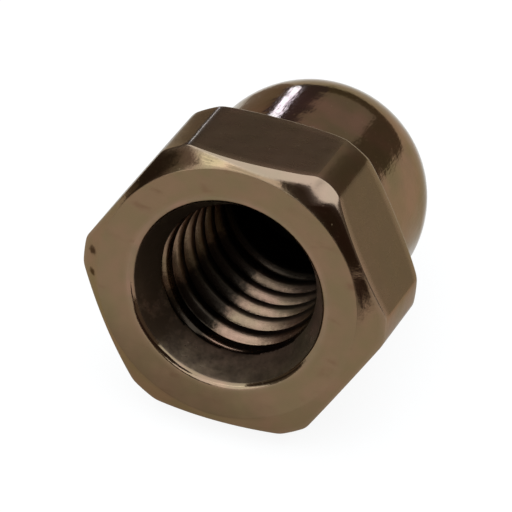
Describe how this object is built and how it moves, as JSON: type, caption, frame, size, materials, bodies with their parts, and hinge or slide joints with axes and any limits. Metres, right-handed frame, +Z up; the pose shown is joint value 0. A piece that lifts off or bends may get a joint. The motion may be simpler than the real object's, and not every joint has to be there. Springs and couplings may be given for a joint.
{
  "type": "cap nut",
  "caption": "Domed hexagon nut with a blind threaded hole: it closes off the end of a bolt or stud and covers it with a smooth dome.",
  "frame": {"origin": "the point on the table under the middle of the nut, which lies on one flat and on its dome", "axes": "+Z up from the table; the thread axis lies in the YZ plane, with the mouth towards -Y and tipped up by 10.68 degrees, and the dome towards +Y"},
  "size_m": [0.0088, 0.0106, 0.0084],
  "materials": {
    "stainless_steel": "polished stainless steel, seen in warm brown light, with fine scratches"
  },
  "bodies": {
    "root": {"cap_nut": "stainless_steel"}
  },
  "joints": []
}
